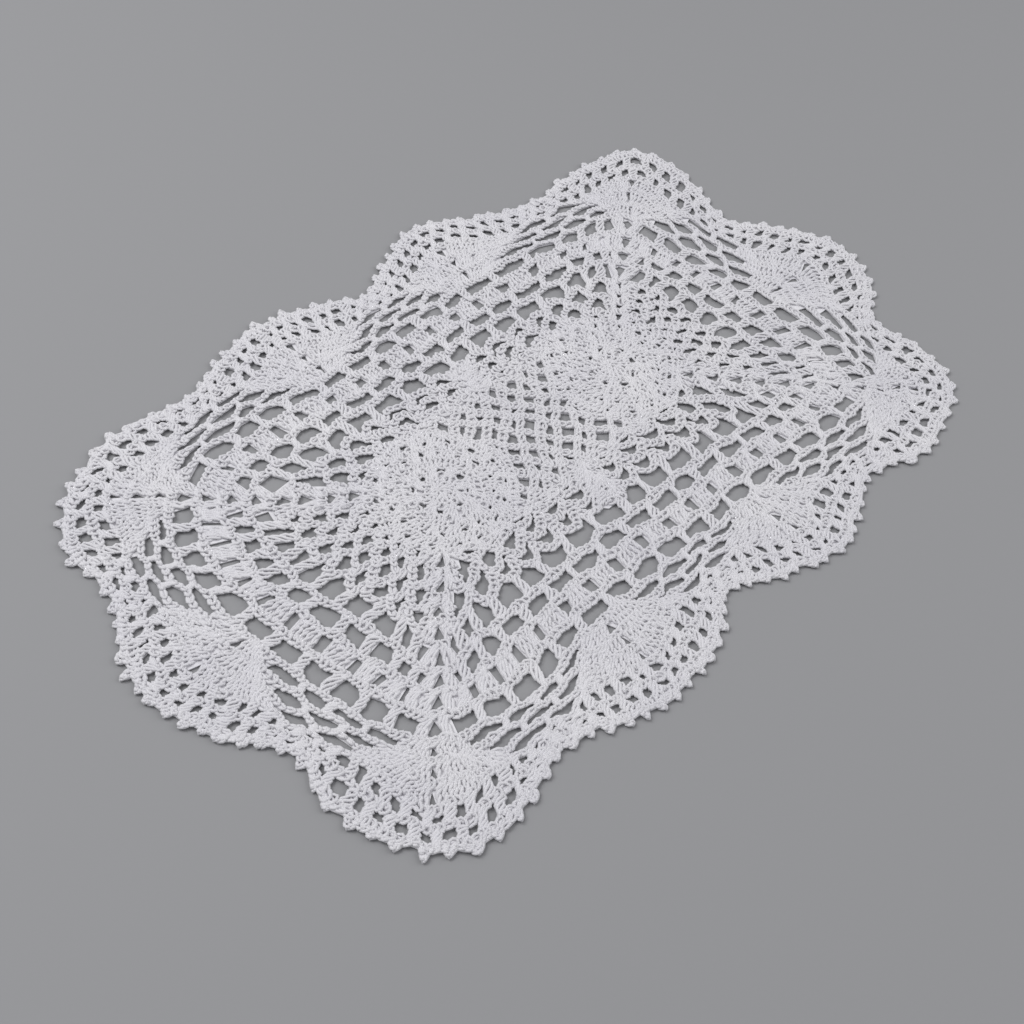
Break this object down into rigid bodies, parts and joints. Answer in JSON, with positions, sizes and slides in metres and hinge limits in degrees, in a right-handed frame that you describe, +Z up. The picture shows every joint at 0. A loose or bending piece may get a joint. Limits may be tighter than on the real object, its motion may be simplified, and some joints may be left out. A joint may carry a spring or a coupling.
{
  "type": "lace placemat",
  "caption": "Flat crocheted lace placemat with rounds of holes, posts and fans and a scalloped edge with small points, to lie under a plate or a vase.",
  "frame": {"origin": "middle of the mat's bounding box on its underside, where it meets the table", "axes": "+X along the long side, +Y along the short side towards the long edge that the camera sees last, +Z up out of the face"},
  "size_m": [0.432, 0.2696, 0.0028],
  "materials": {
    "white_cotton": "matt off-white cotton thread with a soft sheen"
  },
  "bodies": {
    "root": {"lace_mat": "white_cotton"}
  },
  "joints": []
}
